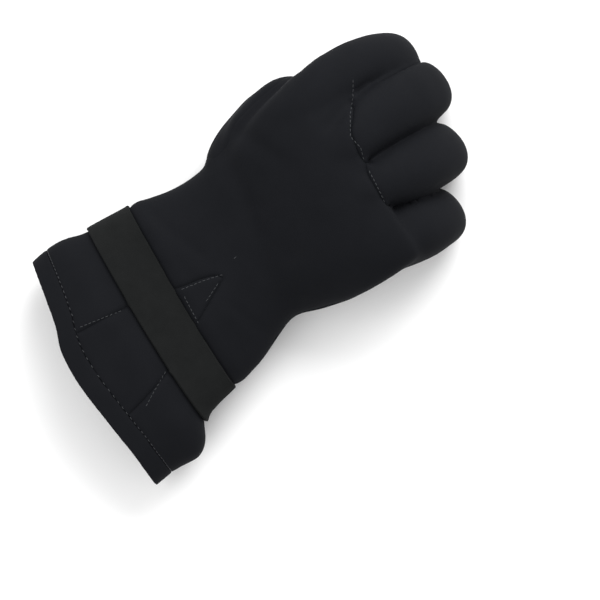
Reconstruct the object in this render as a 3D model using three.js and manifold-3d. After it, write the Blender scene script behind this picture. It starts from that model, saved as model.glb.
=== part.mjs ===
import * as THREE from "three";
import { mergeVertices } from "three/addons/utils/BufferGeometryUtils.js";
import Module from "manifold-3d";

// A right five-finger neoprene diving glove, lying palm down on a flat surface.
// Millimetres. +Y runs to the fingertips, +X to the little finger, +Z up off the back of the hand.

// Driving sizes
const gloveLength = 277;
const handWidth = 124;
const loftHeight = 72;
const neopreneWall = 4.5;
const seamGap = 0.3;
const hemDepth = 12;
const strapWidth = 28;
const strapThickness = 2.4;
const strapPlay = 0.3;
const tabReach = 30;
const tabCorner = 7;
const tabInset = 1;
const indexWidth = 30.5;
const middleWidth = 32.5;
const ringWidth = 31;
const littleWidth = 32;
const thumbWidth = 31;
const fingerThickness = 27;

const wasm = await Module();
wasm.setup();

// Stations of the hand and cuff. at: share of gloveLength from the rim. x and wide: shares of
// handWidth. top and low: shares of loftHeight. square: exponent of the section's superellipse.
const handTable = [
  { at: -0.04, x: 0.0, wide: 1.16, top: 0.63, low: -0.03, square: 2.3 },
  { at: 0.06, x: -0.005, wide: 1.157, top: 0.64, low: -0.03, square: 2.3 },
  { at: 0.115, x: 0.0, wide: 1.177, top: 0.65, low: -0.02, square: 2.3 },
  { at: 0.14, x: -0.019, wide: 1.135, top: 0.64, low: -0.01, square: 2.3 },
  { at: 0.16, x: -0.052, wide: 1.048, top: 0.595, low: 0.03, square: 2.3 },
  { at: 0.185, x: -0.058, wide: 0.988, top: 0.565, low: 0.05, square: 2.3 },
  { at: 0.265, x: -0.06, wide: 0.952, top: 0.565, low: 0.05, square: 2.3 },
  { at: 0.3, x: -0.06, wide: 0.945, top: 0.58, low: 0.04, square: 2.3 },
  { at: 0.335, x: -0.06, wide: 0.92, top: 0.6, low: 0.0, square: 2.3 },
  { at: 0.39, x: -0.065, wide: 0.845, top: 0.61, low: -0.015, square: 2.3 },
  { at: 0.448, x: -0.085, wide: 0.783, top: 0.64, low: 0.01, square: 2.4 },
  { at: 0.495, x: -0.07, wide: 0.83, top: 0.71, low: 0.08, square: 2.5 },
  { at: 0.563, x: -0.05, wide: 0.905, top: 0.82, low: 0.24, square: 2.7 },
  { at: 0.635, x: -0.052, wide: 0.96, top: 0.915, low: 0.4, square: 2.8 },
  { at: 0.7, x: -0.06, wide: 0.99, top: 0.955, low: 0.5, square: 2.8 },
  { at: 0.74, x: -0.065, wide: 1.0, top: 0.9, low: 0.52, square: 2.7 },
  { at: 0.78, x: -0.065, wide: 0.99, top: 0.81, low: 0.52, square: 2.5 },
  { at: 0.82, x: -0.062, wide: 0.97, top: 0.7, low: 0.49, square: 2.4 },
  { at: 0.863, x: -0.06, wide: 0.95, top: 0.58, low: 0.42, square: 2.4 },
];

// Centre lines of the digits, and of the web of skin between the thumb and the hand. along: share of
// gloveLength, x: share of handWidth, z: share of loftHeight, wide and thick: shares of the digit's
// own width and of fingerThickness.
const digitTables = {
  index: [
    { along: 0.635, x: -0.4, z: 0.68, wide: 0.9, thick: 0.9 },
    { along: 0.72, x: -0.43, z: 0.72, wide: 1.0, thick: 1.15 },
    { along: 0.8, x: -0.448, z: 0.66, wide: 1.02, thick: 1.08 },
    { along: 0.866, x: -0.435, z: 0.53, wide: 1.0, thick: 1.02 },
    { along: 0.912, x: -0.405, z: 0.375, wide: 0.98, thick: 0.98 },
    { along: 0.934, x: -0.385, z: 0.23, wide: 0.9, thick: 0.93 },
    { along: 0.94, x: -0.38, z: 0.14, wide: 0.74, thick: 0.8 },
    { along: 0.94, x: -0.378, z: 0.05, wide: 0.54, thick: 0.6 },
    { along: 0.94, x: -0.377, z: -0.03, wide: 0.2, thick: 0.24 },
  ],
  middle: [
    { along: 0.635, x: -0.17, z: 0.7, wide: 0.9, thick: 0.95 },
    { along: 0.74, x: -0.182, z: 0.76, wide: 1.0, thick: 1.18 },
    { along: 0.816, x: -0.19, z: 0.71, wide: 1.0, thick: 1.08 },
    { along: 0.877, x: -0.18, z: 0.585, wide: 1.0, thick: 1.02 },
    { along: 0.928, x: -0.168, z: 0.405, wide: 0.98, thick: 0.98 },
    { along: 0.954, x: -0.162, z: 0.24, wide: 0.9, thick: 0.93 },
    { along: 0.96, x: -0.16, z: 0.14, wide: 0.74, thick: 0.8 },
    { along: 0.96, x: -0.16, z: 0.05, wide: 0.54, thick: 0.6 },
    { along: 0.96, x: -0.16, z: -0.03, wide: 0.2, thick: 0.24 },
  ],
  ring: [
    { along: 0.635, x: 0.04, z: 0.68, wide: 0.8, thick: 0.95 },
    { along: 0.722, x: 0.052, z: 0.75, wide: 0.84, thick: 1.18 },
    { along: 0.787, x: 0.07, z: 0.7, wide: 0.9, thick: 1.08 },
    { along: 0.842, x: 0.09, z: 0.575, wide: 1.0, thick: 1.02 },
    { along: 0.884, x: 0.098, z: 0.4, wide: 1.0, thick: 0.98 },
    { along: 0.906, x: 0.1, z: 0.235, wide: 0.92, thick: 0.93 },
    { along: 0.91, x: 0.1, z: 0.14, wide: 0.75, thick: 0.8 },
    { along: 0.91, x: 0.1, z: 0.05, wide: 0.54, thick: 0.6 },
    { along: 0.91, x: 0.1, z: -0.03, wide: 0.2, thick: 0.24 },
  ],
  little: [
    { along: 0.61, x: 0.25, z: 0.6, wide: 0.9, thick: 0.9 },
    { along: 0.69, x: 0.3, z: 0.67, wide: 1.0, thick: 1.1 },
    { along: 0.75, x: 0.335, z: 0.6, wide: 1.0, thick: 1.05 },
    { along: 0.79, x: 0.352, z: 0.475, wide: 0.98, thick: 1.0 },
    { along: 0.814, x: 0.358, z: 0.33, wide: 0.95, thick: 0.97 },
    { along: 0.82, x: 0.36, z: 0.2, wide: 0.88, thick: 0.9 },
    { along: 0.822, x: 0.36, z: 0.12, wide: 0.7, thick: 0.76 },
    { along: 0.822, x: 0.36, z: 0.04, wide: 0.52, thick: 0.58 },
    { along: 0.822, x: 0.36, z: -0.03, wide: 0.2, thick: 0.22 },
  ],
  thumb: [
    { along: 0.43, x: -0.27, z: 0.37, wide: 0.6, thick: 0.6 },
    { along: 0.49, x: -0.35, z: 0.4, wide: 0.9, thick: 0.9 },
    { along: 0.545, x: -0.43, z: 0.385, wide: 1.0, thick: 1.02 },
    { along: 0.61, x: -0.48, z: 0.33, wide: 1.02, thick: 1.03 },
    { along: 0.665, x: -0.5, z: 0.27, wide: 1.03, thick: 1.0 },
    { along: 0.707, x: -0.45, z: 0.215, wide: 1.0, thick: 0.98 },
    { along: 0.735, x: -0.365, z: 0.185, wide: 1.0, thick: 0.97 },
    { along: 0.76, x: -0.26, z: 0.17, wide: 0.98, thick: 0.96 },
    { along: 0.78, x: -0.165, z: 0.155, wide: 0.86, thick: 0.88 },
    { along: 0.787, x: -0.125, z: 0.155, wide: 0.6, thick: 0.64 },
    { along: 0.79, x: -0.105, z: 0.155, wide: 0.25, thick: 0.3 },
  ],
  web: [
    { along: 0.46, x: -0.36, z: 0.42, wide: 0.4, thick: 0.45 },
    { along: 0.51, x: -0.41, z: 0.44, wide: 0.62, thick: 0.7 },
    { along: 0.56, x: -0.455, z: 0.465, wide: 0.72, thick: 0.82 },
    { along: 0.61, x: -0.49, z: 0.48, wide: 0.75, thick: 0.88 },
    { along: 0.66, x: -0.505, z: 0.49, wide: 0.75, thick: 0.88 },
    { along: 0.7, x: -0.49, z: 0.52, wide: 0.66, thick: 0.78 },
    { along: 0.74, x: -0.45, z: 0.58, wide: 0.5, thick: 0.5 },
  ],
};

// Plan lines. x: share of handWidth. along: share of gloveLength from the rim.
const rimLine = [
  { x: -0.7, along: 0.071 },
  { x: -0.565, along: 0.065 },
  { x: -0.3, along: 0.036 },
  { x: -0.18, along: 0.014 },
  { x: -0.02, along: 0.004 },
  { x: 0.24, along: 0.006 },
  { x: 0.44, along: 0.008 },
  { x: 0.7, along: 0.0 },
];
const gussetLine = [
  { x: -0.22, along: 0.0 },
  { x: -0.185, along: 0.12 },
  { x: -0.16, along: 0.2 },
  { x: -0.09, along: 0.3 },
  { x: -0.065, along: 0.345 },
  { x: -0.02, along: 0.38 },
  { x: 0.005, along: 0.355 },
  { x: 0.06, along: 0.3 },
  { x: 0.15, along: 0.2 },
  { x: 0.2, along: 0.15 },
  { x: 0.26, along: 0.0 },
];
const knuckleLine = [
  { x: -0.42, along: 0.86 },
  { x: -0.33, along: 0.81 },
  { x: -0.24, along: 0.78 },
  { x: -0.175, along: 0.755 },
  { x: -0.065, along: 0.75 },
  { x: 0.0, along: 0.74 },
  { x: 0.12, along: 0.735 },
  { x: 0.24, along: 0.735 },
];
const crotchLine = [
  { x: -0.62, along: 0.855 },
  { x: -0.33, along: 0.815 },
  { x: -0.065, along: 0.757 },
  { x: 0.155, along: 0.737 },
  { x: 0.5, along: 0.73 },
];
const palmPatchLine = [
  { x: -0.62, along: 0.5 },
  { x: -0.42, along: 0.475 },
  { x: -0.1, along: 0.465 },
  { x: 0.12, along: 0.48 },
  { x: 0.2, along: 0.52 },
  { x: 0.6, along: 0.56 },
];

// Lower edge of the strap, across the back and round the cuff.
const strapLine = [
  { x: -0.7, along: 0.205 },
  { x: -0.57, along: 0.202 },
  { x: -0.28, along: 0.188 },
  { x: -0.08, along: 0.178 },
  { x: 0.12, along: 0.17 },
  { x: 0.42, along: 0.162 },
  { x: 0.7, along: 0.158 },
];

const far = 2 * gloveLength;
const handSteps = handTable.length - 1;
const digitSteps = 12;
const sides = 26;
const digitSides = 14;
const inSides = 12;
const digitInSides = 7;
const webInSides = 6;
const webSteps = 5;
const webSides = 8;

// One closed body from rings of equal length, each ring seen anticlockwise from the far end.
function loft(rings) {
  const count = rings[0].length;
  const points = rings.flat();
  const faces = [];
  for (let i = 0; i < rings.length - 1; i++) {
    for (let j = 0; j < count; j++) {
      const a = i * count + j;
      const b = i * count + ((j + 1) % count);
      faces.push(a, b, b + count, a, b + count, a + count);
    }
  }
  const last = (rings.length - 1) * count;
  for (let j = 1; j < count - 1; j++) {
    faces.push(0, j + 1, j, last, last + j, last + j + 1);
  }
  return new wasm.Manifold(
    new wasm.Mesh({
      numProp: 3,
      vertProperties: new Float32Array(points.flatMap((p) => [p.x, p.y, p.z])),
      triVerts: new Uint32Array(faces),
    }),
  );
}

// A flat outline in the XY plane, raised from z = low to z = high.
function prism(outline, low, high) {
  const shape = new THREE.Shape(outline.map((p) => new THREE.Vector2(p.x, p.y)));
  const geometry = new THREE.ExtrudeGeometry(shape, { depth: high - low, bevelEnabled: false });
  geometry.translate(0, 0, low);
  geometry.deleteAttribute("normal");
  geometry.deleteAttribute("uv");
  const merged = mergeVertices(geometry);
  return new wasm.Manifold(
    new wasm.Mesh({
      numProp: 3,
      vertProperties: merged.attributes.position.array,
      triVerts: new Uint32Array(merged.index.array),
    }),
  );
}

function smoothLine(rows, steps) {
  const points = rows.map((r) => new THREE.Vector2(r.x * handWidth, r.along * gloveLength));
  return new THREE.SplineCurve(points).getPoints(steps);
}

function above(line, shift) {
  const first = line[0];
  const last = line[line.length - 1];
  return [
    new THREE.Vector2(first.x - far, first.y + shift),
    ...line.map((p) => new THREE.Vector2(p.x, p.y + shift)),
    new THREE.Vector2(last.x + far, last.y + shift),
    new THREE.Vector2(last.x + far, far),
    new THREE.Vector2(first.x - far, far),
  ];
}

function below(line, shift) {
  const first = line[0];
  const last = line[line.length - 1];
  return [
    new THREE.Vector2(last.x + far, last.y + shift),
    ...line.map((p) => new THREE.Vector2(p.x, p.y + shift)).reverse(),
    new THREE.Vector2(first.x - far, first.y + shift),
    new THREE.Vector2(first.x - far, -far),
    new THREE.Vector2(last.x + far, -far),
  ];
}

// Stations along a digit or the hand: centre, side and up directions, half width and half height.
function stations(rows, steps) {
  const centres = new THREE.CatmullRomCurve3(rows.map((r) => r.centre));
  const sizes = new THREE.CatmullRomCurve3(rows.map((r) => r.size));
  const out = [];
  for (let i = 0; i <= steps; i++) {
    const t = i / steps;
    const along = centres.getTangent(t);
    const side = new THREE.Vector3(1, 0, 0).addScaledVector(along, -along.x).normalize();
    const up = new THREE.Vector3().crossVectors(side, along).normalize();
    const size = sizes.getPoint(t);
    out.push({ centre: centres.getPoint(t), along, side, up, size });
  }
  return out;
}

function at(station, side, up) {
  return station.centre
    .clone()
    .addScaledVector(station.side, side)
    .addScaledVector(station.up, up);
}

function ring(station, grow, count) {
  const wide = station.size.x + grow;
  const high = station.size.y + grow;
  const power = 2 / station.size.z;
  const out = [];
  for (let j = 0; j < count; j++) {
    const turn = (2 * Math.PI * (j + 0.5)) / count;
    const c = Math.cos(turn);
    const s = Math.sin(turn);
    const side = -Math.sign(c) * Math.abs(c) ** power * wide;
    out.push(at(station, side, Math.sign(s) * Math.abs(s) ** power * high));
  }
  return out;
}

function tube(line, grow, count) {
  const least = 2;
  const kept = line.filter((s) => Math.min(s.size.x, s.size.y) + grow > least);
  return loft(kept.map((s) => ring(s, grow, count)));
}

// A block that follows a centre line from a station to a little past its end. Its edges are shares
// of the half width and half height. Up to station flared its sides reach further out, and from
// four stations before station tapered its low and high close to 0.
function block(line, from, shares, grow, flared, tapered) {
  const kept = line.slice(from);
  const last = kept[kept.length - 1];
  const end = last.centre.clone().addScaledVector(last.along, fingerThickness);
  kept.push({ ...last, centre: end });
  return loft(
    kept.map((s, i) => {
      const taper = tapered ? Math.max(0, Math.min(1, (tapered - from - i) / 4)) : 1;
      const flare = flared && from + i <= flared ? 1.5 : 1;
      const left = shares.left * flare * s.size.x - grow;
      const right = shares.right * flare * s.size.x + grow;
      const low = shares.low * taper * s.size.y - grow;
      const high = shares.high * taper * s.size.y + grow;
      return [at(s, left, low), at(s, left, high), at(s, right, high), at(s, right, low)];
    }),
  );
}

const handLine = stations(
  handTable.map((r) => ({
    centre: new THREE.Vector3(
      r.x * handWidth,
      r.at * gloveLength,
      ((r.top + r.low) / 2) * loftHeight,
    ),
    size: new THREE.Vector3(
      (r.wide / 2) * handWidth,
      ((r.top - r.low) / 2) * loftHeight,
      r.square,
    ),
  })),
  handSteps,
);
for (const s of handLine) {
  s.along.set(0, 1, 0);
  s.side.set(1, 0, 0);
  s.up.set(0, 0, 1);
}

const digitWidths = {
  index: indexWidth,
  middle: middleWidth,
  ring: ringWidth,
  little: littleWidth,
  thumb: thumbWidth,
  web: thumbWidth,
};
const digitLines = {};
for (const [name, rows] of Object.entries(digitTables)) {
  digitLines[name] = stations(
    rows.map((r) => ({
      centre: new THREE.Vector3(r.x * handWidth, r.along * gloveLength, r.z * loftHeight),
      size: new THREE.Vector3(
        (r.wide / 2) * digitWidths[name],
        (r.thick / 2) * fingerThickness,
        2.2,
      ),
    })),
    name === "web" ? webSteps : digitSteps,
  );
}
const webLine = digitLines.web;
delete digitLines.web;

const rim = smoothLine(rimLine, 10);
const crotch = smoothLine(crotchLine, 8);

// The glove's outside for inset 0, and the room inside it for inset neopreneWall.
function gloveForm(inset) {
  const outside = inset === 0;
  const handSides = outside ? sides : inSides;
  const sidesOfDigit = outside ? digitSides : digitInSides;
  let form = tube(handLine, -inset, handSides).intersect(
    prism(below(crotch, -inset), -far, far),
  );
  for (const line of Object.values(digitLines)) {
    form = form.add(tube(line, -inset, sidesOfDigit));
  }
  form = form.add(tube(webLine, -inset, outside ? webSides : webInSides));
  if (outside) {
    form = form.intersect(prism(above(rim, 0), -far, far));
  }
  const floor = prism(above([new THREE.Vector2(0, -far)], 0), -far, inset);
  return form.subtract(floor);
}

const outer = gloveForm(0);
const inner = gloveForm(neopreneWall);
let rest = outer.subtract(inner);
const pieces = [];

function largest(solid) {
  const bodies = solid.decompose();
  bodies.sort((a, b) => b.volume() - a.volume());
  return bodies[0];
}

// Takes the piece inside a region off what is left, and a seam's width round it as well.
function take(name, colour, region) {
  pieces.push({ name, colour, solid: largest(rest.intersect(region(0))) });
  rest = rest.subtract(region(seamGap));
}

const smooth = 0x1d1e22;
const textured = 0x2a2c2a;
const tape = 0x242723;

take("cuff_hem", smooth, (grow) => prism(below(rim, hemDepth + grow), -far, far));

// Moves a plan line sideways by a seam's width.
function widen(line, grow) {
  return line.map((p, i) => {
    const before = line[Math.max(i - 1, 0)];
    const after = line[Math.min(i + 1, line.length - 1)];
    const normal = new THREE.Vector2(before.y - after.y, after.x - before.x).normalize();
    return new THREE.Vector2(p.x + normal.x * grow, p.y + normal.y * grow);
  });
}

const gusset = smoothLine(gussetLine, 16);
const cuffMiddle = 0.32 * loftHeight;
take("cuff_gusset", smooth, (grow) => prism(widen(gusset, grow).reverse(), cuffMiddle, far));

const { index, middle, ring: third, little, thumb } = digitLines;
const stripEnd = 9;
const strip = { low: -0.36, high: 0.36 };
const reach = 1.06;
function fourchette(first, firstFlare, second, secondFlare) {
  return (grow) =>
    block(first, 1, { ...strip, left: 0.05, right: reach }, grow, firstFlare, stripEnd).add(
      block(second, 1, { ...strip, left: -reach, right: -0.05 }, grow, secondFlare, stripEnd),
    );
}
take("fourchette_index_middle", smooth, fourchette(index, 3, middle, 3));
take("fourchette_middle_ring", smooth, fourchette(middle, 2, third, 2));
take("fourchette_ring_little", smooth, fourchette(third, 2, little, 3));

take("thumb_back", smooth, (grow) =>
  block(thumb, 2, { left: -1.06, right: 0, low: -1.06, high: 1.06 }, grow).subtract(
    tube(handLine, seamGap - grow, sides),
  ),
);

const palmPatch = smoothLine(palmPatchLine, 8);
const palmSeam = 0.55;
const handFront = (grow) =>
  block(handLine, 0, { left: -1.3, right: palmSeam, low: -1.3, high: 0 }, grow).intersect(
    prism(below(crotch, 1 + grow), -far, far),
  );
take("wrist_palm_panel", smooth, (grow) =>
  handFront(grow).intersect(prism(below(palmPatch, grow), -far, far)),
);
take("palm_panel", textured, (grow) => {
  const own = { left: -1.03, right: 1.03, low: -1.3, high: 0 };
  return handFront(grow)
    .add(block(index, 1, { ...own, left: -1.3, high: 0.1 }, grow))
    .add(block(middle, 1, own, grow))
    .add(block(third, 1, own, grow))
    .add(block(little, 1, { ...own, right: 0.5 }, grow))
    .add(block(thumb, 2, { left: -0.02, right: 1.06, low: -1.06, high: 1.06 }, grow));
});

const knuckle = smoothLine(knuckleLine, 8);
const fingerBack = (line) => (grow) =>
  block(line, 1, { left: -1.04, right: 1.04, low: -1.2, high: 1.4 }, grow).intersect(
    prism(above(knuckle, -grow), -far, far),
  );
take("middle_back", smooth, fingerBack(middle));
take("ring_back", smooth, fingerBack(third));
pieces.push({ name: "back_panel", colour: smooth, solid: largest(rest) });

// The strap lies round the cuff, and its free end over it at the little-finger side.
const strapEdge = smoothLine(strapLine, 8);
function layer(number) {
  const under = number * (strapPlay + strapThickness) + strapPlay;
  return tube(handLine, under + strapThickness, sides).subtract(tube(handLine, under, sides));
}
function band(inset) {
  return prism(above(strapEdge, inset), -far, far).intersect(
    prism(below(strapEdge, strapWidth - inset), -far, far),
  );
}
pieces.push({ name: "wrist_strap", colour: tape, solid: layer(0).intersect(band(0)) });

// The free end wraps round the little-finger side and stops on the palm side with round corners.
const tabFrom = strapEdge.reduce((best, p) => {
  const want = handWidth / 2 - tabReach;
  return Math.abs(p.x - want) < Math.abs(best.x - want) ? p : best;
});
const tabLow = tabFrom.y + tabInset + tabCorner;
const tabHigh = tabFrom.y + strapWidth - tabInset - tabCorner;
const tabShape = new THREE.Path();
tabShape.moveTo(far, tabLow - tabCorner - strapWidth);
tabShape.lineTo(tabFrom.x + tabCorner, tabLow - tabCorner);
tabShape.absarc(tabFrom.x + tabCorner, tabLow, tabCorner, -Math.PI / 2, -Math.PI, true);
tabShape.absarc(tabFrom.x + tabCorner, tabHigh, tabCorner, Math.PI, Math.PI / 2, true);
tabShape.lineTo(far, tabHigh + tabCorner + strapWidth);
const tab = layer(1).intersect(band(tabInset)).intersect(prism(tabShape.getPoints(4), -far, cuffMiddle));
pieces.push({ name: "strap_end", colour: tape, solid: tab });

// The frame: the middle of the part's box over the surface that it lies on.
const boxes = pieces.map((piece) => piece.solid.boundingBox());
const middleOf = (axis) =>
  (Math.min(...boxes.map((b) => b.min[axis])) + Math.max(...boxes.map((b) => b.max[axis]))) / 2;
const toFrame = [-middleOf(0), -middleOf(1), 0];

const part = new THREE.Group();
part.name = "diving_glove";
for (const piece of pieces) {
  const mesh = piece.solid.translate(toFrame).getMesh();
  const geometry = new THREE.BufferGeometry();
  geometry.setAttribute("position", new THREE.BufferAttribute(mesh.vertProperties, 3));
  geometry.setIndex(new THREE.BufferAttribute(mesh.triVerts, 1));
  geometry.computeVertexNormals();
  const node = new THREE.Mesh(
    geometry,
    new THREE.MeshStandardMaterial({ color: piece.colour, roughness: 0.85, metalness: 0 }),
  );
  node.name = piece.name;
  part.add(node);
}

export default part;
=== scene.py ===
import math
import random

import bmesh
import bpy
import numpy as np
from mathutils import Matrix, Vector, kdtree, noise
from mathutils.bvhtree import BVHTree


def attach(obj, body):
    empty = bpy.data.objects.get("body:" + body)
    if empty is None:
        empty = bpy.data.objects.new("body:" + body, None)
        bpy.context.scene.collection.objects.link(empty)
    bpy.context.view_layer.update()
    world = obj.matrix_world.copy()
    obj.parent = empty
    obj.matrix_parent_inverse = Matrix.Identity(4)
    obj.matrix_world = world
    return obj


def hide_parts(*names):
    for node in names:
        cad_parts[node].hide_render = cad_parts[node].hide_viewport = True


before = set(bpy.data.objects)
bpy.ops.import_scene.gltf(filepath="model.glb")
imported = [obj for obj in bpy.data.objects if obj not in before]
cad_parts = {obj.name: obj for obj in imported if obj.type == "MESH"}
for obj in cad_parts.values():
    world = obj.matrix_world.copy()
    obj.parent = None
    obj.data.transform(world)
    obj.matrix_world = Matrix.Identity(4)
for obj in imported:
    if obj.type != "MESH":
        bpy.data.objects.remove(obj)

bl_info = {
    "name": "Diving glove",
    "version": (1, 0, 0),
    "blender": (4, 5, 0),
    "location": "View3D > Sidebar > Glove",
    "description": "A five-finger neoprene diving glove lying palm down",
    "category": "Add Mesh",
}

# The glove's tables. Lengths along the glove are shares of its length from the rim, places across it
# shares of the hand's width, and heights shares of the loft.
# Hand and cuff: at, centre x, width, top, low, exponent of the section.
HAND = (
    (-0.04, -0.008, 1.176, 0.63, -0.03, 2.3),
    (0.06, -0.013, 1.173, 0.64, -0.03, 2.3),
    (0.115, -0.01, 1.197, 0.65, -0.02, 2.3),
    (0.14, -0.029, 1.155, 0.64, -0.01, 2.3),
    (0.16, -0.062, 1.068, 0.595, 0.03, 2.3),
    (0.185, -0.068, 1.008, 0.565, 0.05, 2.3),
    (0.265, -0.068, 0.968, 0.565, 0.05, 2.3),
    (0.3, -0.067, 0.959, 0.58, 0.04, 2.3),
    (0.335, -0.065, 0.93, 0.6, 0.0, 2.3),
    (0.39, -0.069, 0.853, 0.61, -0.015, 2.3),
    (0.448, -0.08, 0.8, 0.64, 0.01, 2.4),
    (0.495, -0.065, 0.847, 0.71, 0.08, 2.5),
    (0.563, -0.048, 0.912, 0.82, 0.24, 2.7),
    (0.635, -0.052, 0.96, 0.915, 0.4, 2.8),
    (0.7, -0.06, 0.99, 0.955, 0.5, 2.8),
    (0.74, -0.065, 1.0, 0.935, 0.52, 2.8),
    (0.78, -0.065, 0.99, 0.885, 0.52, 2.8),
    (0.82, -0.062, 0.97, 0.8, 0.49, 2.8),
    (0.863, -0.06, 0.95, 0.68, 0.42, 2.8),
)
# Digits, and the web between the thumb and the hand: at, x, height, then width and thickness as
# shares of the digit's own.
DIGITS = {
    "index": (
        (0.635, -0.4, 0.68, 0.9, 0.9),
        (0.72, -0.43, 0.72, 1.0, 1.15),
        (0.8, -0.448, 0.66, 1.02, 1.08),
        (0.866, -0.435, 0.53, 1.0, 1.02),
        (0.912, -0.4, 0.375, 1.02, 0.98),
        (0.938, -0.378, 0.23, 0.98, 0.93),
        (0.944, -0.373, 0.14, 0.84, 0.8),
        (0.943, -0.371, 0.05, 0.62, 0.6),
        (0.942, -0.37, -0.03, 0.22, 0.24),
    ),
    "middle": (
        (0.635, -0.17, 0.7, 0.9, 0.95),
        (0.74, -0.182, 0.76, 1.0, 1.18),
        (0.816, -0.194, 0.71, 1.04, 1.08),
        (0.877, -0.19, 0.585, 1.08, 1.02),
        (0.928, -0.182, 0.405, 1.1, 0.98),
        (0.954, -0.178, 0.24, 1.06, 0.93),
        (0.96, -0.176, 0.14, 0.9, 0.8),
        (0.96, -0.175, 0.05, 0.64, 0.6),
        (0.96, -0.175, -0.03, 0.22, 0.24),
    ),
    "ring": (
        (0.635, 0.04, 0.68, 0.8, 0.95),
        (0.722, 0.052, 0.75, 0.84, 1.18),
        (0.787, 0.074, 0.7, 0.98, 1.08),
        (0.842, 0.09, 0.575, 1.1, 1.02),
        (0.884, 0.096, 0.4, 1.14, 0.98),
        (0.906, 0.097, 0.235, 1.08, 0.93),
        (0.911, 0.097, 0.14, 0.9, 0.8),
        (0.911, 0.097, 0.05, 0.64, 0.6),
        (0.91, 0.097, -0.03, 0.22, 0.24),
    ),
    "little": (
        (0.61, 0.25, 0.6, 0.9, 0.9),
        (0.69, 0.296, 0.67, 1.0, 1.1),
        (0.75, 0.324, 0.6, 1.06, 1.05),
        (0.79, 0.338, 0.475, 1.06, 1.0),
        (0.816, 0.343, 0.33, 1.04, 0.97),
        (0.824, 0.344, 0.2, 0.98, 0.9),
        (0.826, 0.344, 0.12, 0.84, 0.76),
        (0.825, 0.344, 0.04, 0.6, 0.58),
        (0.824, 0.344, -0.03, 0.2, 0.22),
    ),
    "thumb": (
        (0.43, -0.27, 0.37, 0.6, 0.6),
        (0.49, -0.35, 0.4, 0.9, 0.9),
        (0.545, -0.437, 0.385, 1.0, 1.02),
        (0.61, -0.488, 0.33, 1.02, 1.03),
        (0.665, -0.506, 0.27, 1.03, 1.0),
        (0.707, -0.45, 0.215, 1.0, 0.98),
        (0.735, -0.365, 0.185, 1.0, 0.97),
        (0.76, -0.26, 0.17, 0.98, 0.96),
        (0.78, -0.165, 0.155, 0.86, 0.88),
        (0.787, -0.125, 0.155, 0.6, 0.64),
        (0.79, -0.105, 0.155, 0.25, 0.3),
    ),
    "web": (
        (0.46, -0.36, 0.42, 0.4, 0.45),
        (0.51, -0.41, 0.44, 0.62, 0.7),
        (0.56, -0.462, 0.465, 0.74, 0.82),
        (0.61, -0.502, 0.48, 0.78, 0.88),
        (0.66, -0.526, 0.49, 0.78, 0.88),
        (0.7, -0.53, 0.5, 0.72, 0.8),
        (0.745, -0.475, 0.56, 0.56, 0.56),
    ),
}
# Lines seen from above: x, at.
RIM = (
    (-0.7, 0.071), (-0.565, 0.065), (-0.3, 0.036), (-0.18, 0.014),
    (-0.02, 0.004), (0.24, 0.006), (0.44, 0.008), (0.7, 0.0),
)
CROTCH = ((-0.62, 0.855), (-0.33, 0.815), (-0.065, 0.757), (0.155, 0.737), (0.5, 0.73))
STRAP = (
    (-0.7, 0.205), (-0.57, 0.202), (-0.28, 0.188), (-0.08, 0.178),
    (0.12, 0.17), (0.42, 0.162), (0.7, 0.158),
)
# Soft dents in the neoprene, in millimetres over the frame: start x y, end x y, depth, half width,
# and 1 for the back of the glove or -1 for the palm side.
DENTS = (
    (-57, 8, -16, -3, 1.6, 6.0, 1),
    (-60, 22, -38, 30, 0.9, 5.0, 1),
    (38, -8, 52, 6, 0.8, 5.0, 1),
    (-50, -46, -20, -38, 0.6, 4.0, 1),
    (20, -40, 50, -30, 0.7, 4.0, 1),
    (-40, 96, -34, 70, 0.8, 4.0, 1),
    (-50, 2, 34, -6, 1.4, 5.0, -1),
    (-58, 40, 40, 46, 1.3, 5.0, -1),
    (-60, 70, 44, 64, 1.5, 4.0, -1),
)
PANELS = (
    "cuff_hem",
    "cuff_gusset",
    "fourchette_index_middle",
    "fourchette_middle_ring",
    "fourchette_ring_little",
    "thumb_back",
    "wrist_palm_panel",
    "palm_panel",
    "middle_back",
    "ring_back",
    "back_panel",
)
KNIT_PANELS = ("palm_panel",)
# How far the seams round a panel pull in, as a share of the seam depth.
SEAM_PULL = {
    "cuff_hem": 0.35,
    "cuff_gusset": 0.8,
    "fourchette_index_middle": 0.15,
    "fourchette_middle_ring": 0.15,
    "fourchette_ring_little": 0.15,
    "thumb_back": 0.2,
}
MILLIMETRE = 0.001
# The skin, in metres and in rounds of averaging.
LEAST_HALF = 0.002
FORM_ROUNDS = 24
FORM_GROWTH = 0.0009
OWNER_ROUNDS = 8
FOLD_ROUNDS = 12
# How near a cut a corner is moved onto it.
SNAP = 0.00012
# How far from a place its panel is looked for.
REACH = 0.03
# Where the bulge at the thumb's root shows from above: greatest x, least y, greatest y.
BULGE = (-0.045, 0.0, 0.068)
# How soft the edge is where a seam stops at the strap, and where the strap presses in.
GROOVE_FADE = 0.0012
PRESS_FADE = 0.0009
# The swelling beside the strap: how far off it is, half its width, and its height in sinks.
SWELL = (0.006, 0.004, 0.7)
# Uneven surface: height and scale of the broad and the fine part.
UNEVEN = ((0.0007, 26.0), (0.0003, 70.0))
HEM_VOXEL = 0.0008
HEM_ROUNDS = 8
# The tape: squareness of its section, its gap to the skin, its least height over the floor.
TAPE_SQUARE = 0.35
TAPE_GAP = 0.0002
TAPE_FLOOR = 0.0004
# The free end: where it starts and stops round the cuff, how much less than half the strap's width
# it has, how its length from end to end grows on the curve, and its rounds of averaging.
END_TURNS = (math.pi + 0.2, math.pi + 0.95)
END_LESS = 0.0024
END_CURVE = 1.12
END_ROUNDS = 16
HEM_STITCHES = 110


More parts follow.
